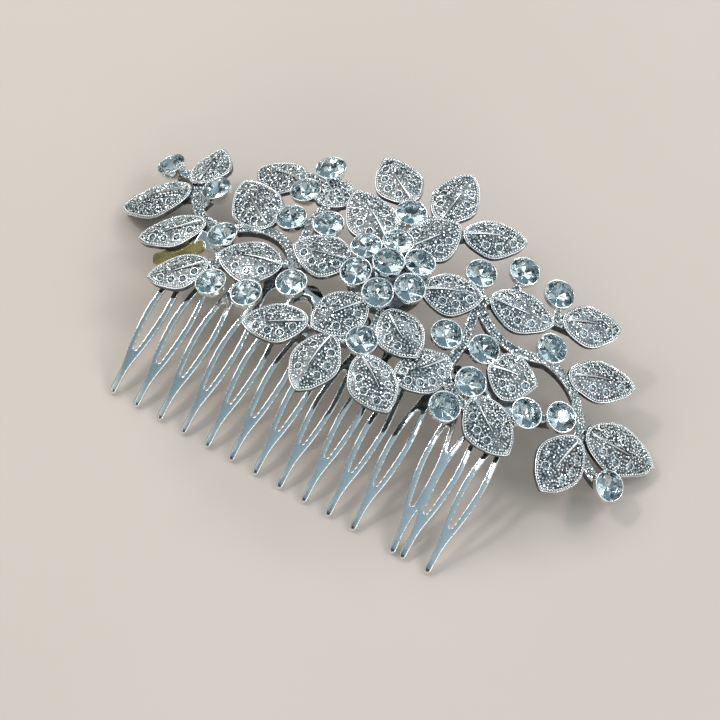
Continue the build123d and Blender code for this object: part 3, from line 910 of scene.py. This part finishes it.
def area_light(name, azimuth, elevation, distance, size, power, colour):
    """A softbox that looks at the ornament: angles in degrees, lengths in metres, watts."""
    a = math.radians(azimuth)
    e = math.radians(elevation)
    direction = Vector((math.sin(a) * math.cos(e), -math.cos(a) * math.cos(e), math.sin(e)))
    light = bpy.data.lights.new(name, "AREA")
    light.shape = "RECTANGLE"
    light.size = size[0]
    light.size_y = size[1]
    light.energy = power
    light.color = colour
    obj = bpy.data.objects.new(name, light)
    obj.location = crown + direction * distance
    obj.rotation_euler = direction.to_track_quat("Z", "Y").to_euler()
    bpy.context.scene.collection.objects.link(obj)


def make_world():
    """A studio: blue overhead, paler to the right, with bright and dark patches round about."""
    world = bpy.data.worlds.new("studio")
    bpy.context.scene.world = world
    world.use_nodes = True
    tree = world.node_tree
    background = tree.nodes["Background"]
    coordinates = tree.nodes.new("ShaderNodeTexCoord")
    noise = tree.nodes.new("ShaderNodeTexNoise")
    noise.inputs["Scale"].default_value = 3.4
    noise.inputs["Detail"].default_value = 1.0
    ramp = tree.nodes.new("ShaderNodeValToRGB")
    ramp.color_ramp.elements[0].position = 0.44
    ramp.color_ramp.elements[0].color = (0.06, 0.07, 0.08, 1)
    ramp.color_ramp.elements[1].position = 0.56
    ramp.color_ramp.elements[1].color = (0.86, 0.97, 0.97, 1)
    height = tree.nodes.new("ShaderNodeSeparateXYZ")
    overhead = tree.nodes.new("ShaderNodeMapRange")
    overhead.inputs["From Min"].default_value = 0.68
    overhead.inputs["From Max"].default_value = 0.78
    overhead.interpolation_type = "SMOOTHSTEP"
    mix = tree.nodes.new("ShaderNodeMix")
    mix.data_type = "RGBA"
    across = tree.nodes.new("ShaderNodeMapRange")
    across.inputs["From Min"].default_value = -0.34
    across.inputs["From Max"].default_value = -0.14
    ceiling = tree.nodes.new("ShaderNodeMix")
    ceiling.data_type = "RGBA"
    ceiling.inputs["A"].default_value = (0.25, 0.35, 0.39, 1)
    ceiling.inputs["B"].default_value = (0.42, 0.58, 0.67, 1)
    tree.links.new(coordinates.outputs["Generated"], noise.inputs["Vector"])
    tree.links.new(noise.outputs["Fac"], ramp.inputs["Fac"])
    tree.links.new(coordinates.outputs["Generated"], height.inputs["Vector"])
    tree.links.new(height.outputs["Z"], overhead.inputs["Value"])
    tree.links.new(height.outputs["X"], across.inputs["Value"])
    tree.links.new(across.outputs["Result"], ceiling.inputs["Factor"])
    tree.links.new(ceiling.outputs["Result"], mix.inputs["B"])
    tree.links.new(overhead.outputs["Result"], mix.inputs["Factor"])
    tree.links.new(ramp.outputs["Color"], mix.inputs["A"])
    tree.links.new(mix.outputs["Result"], background.inputs["Color"])
    background.inputs["Strength"].default_value = 0.76


def make_lights():
    area_light("key_softbox", -95, 48, 0.9, (0.90, 0.44), 2.7, (1.0, 0.97, 0.93))
    area_light("key_spark", -78, 56, 0.9, (0.10, 0.10), 1.0, (1.0, 0.98, 0.95))
    area_light("fill_softbox", 100, 46, 1.0, (0.80, 0.60), 1.8, (0.96, 0.98, 1.0))
    area_light("front_softbox", 48, 24, 1.1, (0.90, 0.30), 2.2, (1.0, 0.98, 0.96))
    area_light("back_strip", 185, 40, 0.9, (0.70, 0.10), 1.6, (0.94, 0.97, 1.0))
    area_light("table_spark", 130, 46, 0.9, (0.12, 0.12), 0.6, (0.94, 0.98, 1.0))
    area_light("tine_spark", -32, 78, 0.9, (0.09, 0.06), 0.16, (1.0, 1.0, 1.0))


def make_camera():
    a, e, roll = CAMERA_AZIMUTH, CAMERA_ELEVATION, CAMERA_ROLL
    back = Vector((math.sin(a) * math.cos(e), -math.cos(a) * math.cos(e), math.sin(e)))
    level = Vector((math.cos(a), math.sin(a), 0))
    above = back.cross(level)
    right = math.cos(roll) * level + math.sin(roll) * above
    up = -math.sin(roll) * level + math.cos(roll) * above
    width = CAMERA_DISTANCE * SENSOR_WIDTH / CAMERA_LENS
    place = crown + CAMERA_DISTANCE * back - AIM_RIGHT * width * right - AIM_UP * width * up
    data = bpy.data.cameras.new("camera")
    data.lens = CAMERA_LENS
    data.sensor_width = SENSOR_WIDTH
    data.clip_start = 0.01
    camera = bpy.data.objects.new("camera", data)
    bpy.context.scene.collection.objects.link(camera)
    turn = Matrix((right, up, back)).transposed()
    camera.matrix_world = Matrix.Translation(place) @ turn.to_4x4()
    bpy.context.scene.camera = camera


# ---- assembly --------------------------------------------------------------------------------
low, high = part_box("crystals_cluster")
crown = Vector(((low.x + high.x) / 2, (low.y + high.y) / 2, high.z - TABLE_ABOVE_CROWN))
materials = make_materials()
make_world()
make_lights()
make_camera()
make_floor()

STEMS = [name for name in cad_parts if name.startswith(("branch_", "sprig_"))]
LEAVES = sorted(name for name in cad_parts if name.startswith("leaf_"))
stem_points = []
for name in STEMS + ["cluster_plate"]:
    stem_points.extend(vert.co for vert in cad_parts[name].data.vertices)
stem_tree = tree_of(stem_points)

for group_index, group in enumerate(CRYSTAL_GROUPS):
    make_crystals(group, materials, CRYSTAL_SEED + group_index)
all_stones = {side: stone_places("pave_" + side) for side in SIDES}
for side_index, side in enumerate(SIDES):
    make_pave(side, all_stones[side], materials, PAVE_SEED + side_index)
for index, name in enumerate(LEAVES):
    side = name.split("_")[1]
    dress_leaf(name, all_stones[side], stem_tree, LEAF_SEED + index, materials)
    # the leaf's body takes the dark bed finish, whose tones are painted shade between its beads
    use_material(name, materials["cast"])
for index, name in enumerate(STEMS):
    dress_stem(name, STEM_SEED + index, materials)
    # the stem's and the plate's bodies take the same dark bed finish, painted shade between the
    # beads
    use_material(name, materials["cast"])
use_material("cluster_plate", materials["cast"])
use_material("end_brace", materials["tab"])
for side in SIDES:
    use_material("solder_post_" + side, materials["solder"])
soften_blade(materials["comb"])

# Light crosses a cut stone many times before it leaves, and grain must stay crisp.
bpy.context.scene.cycles.glossy_bounces = 12
bpy.context.scene.cycles.denoising_prefilter = "NONE"
bpy.context.scene.view_settings.view_transform = "Standard"
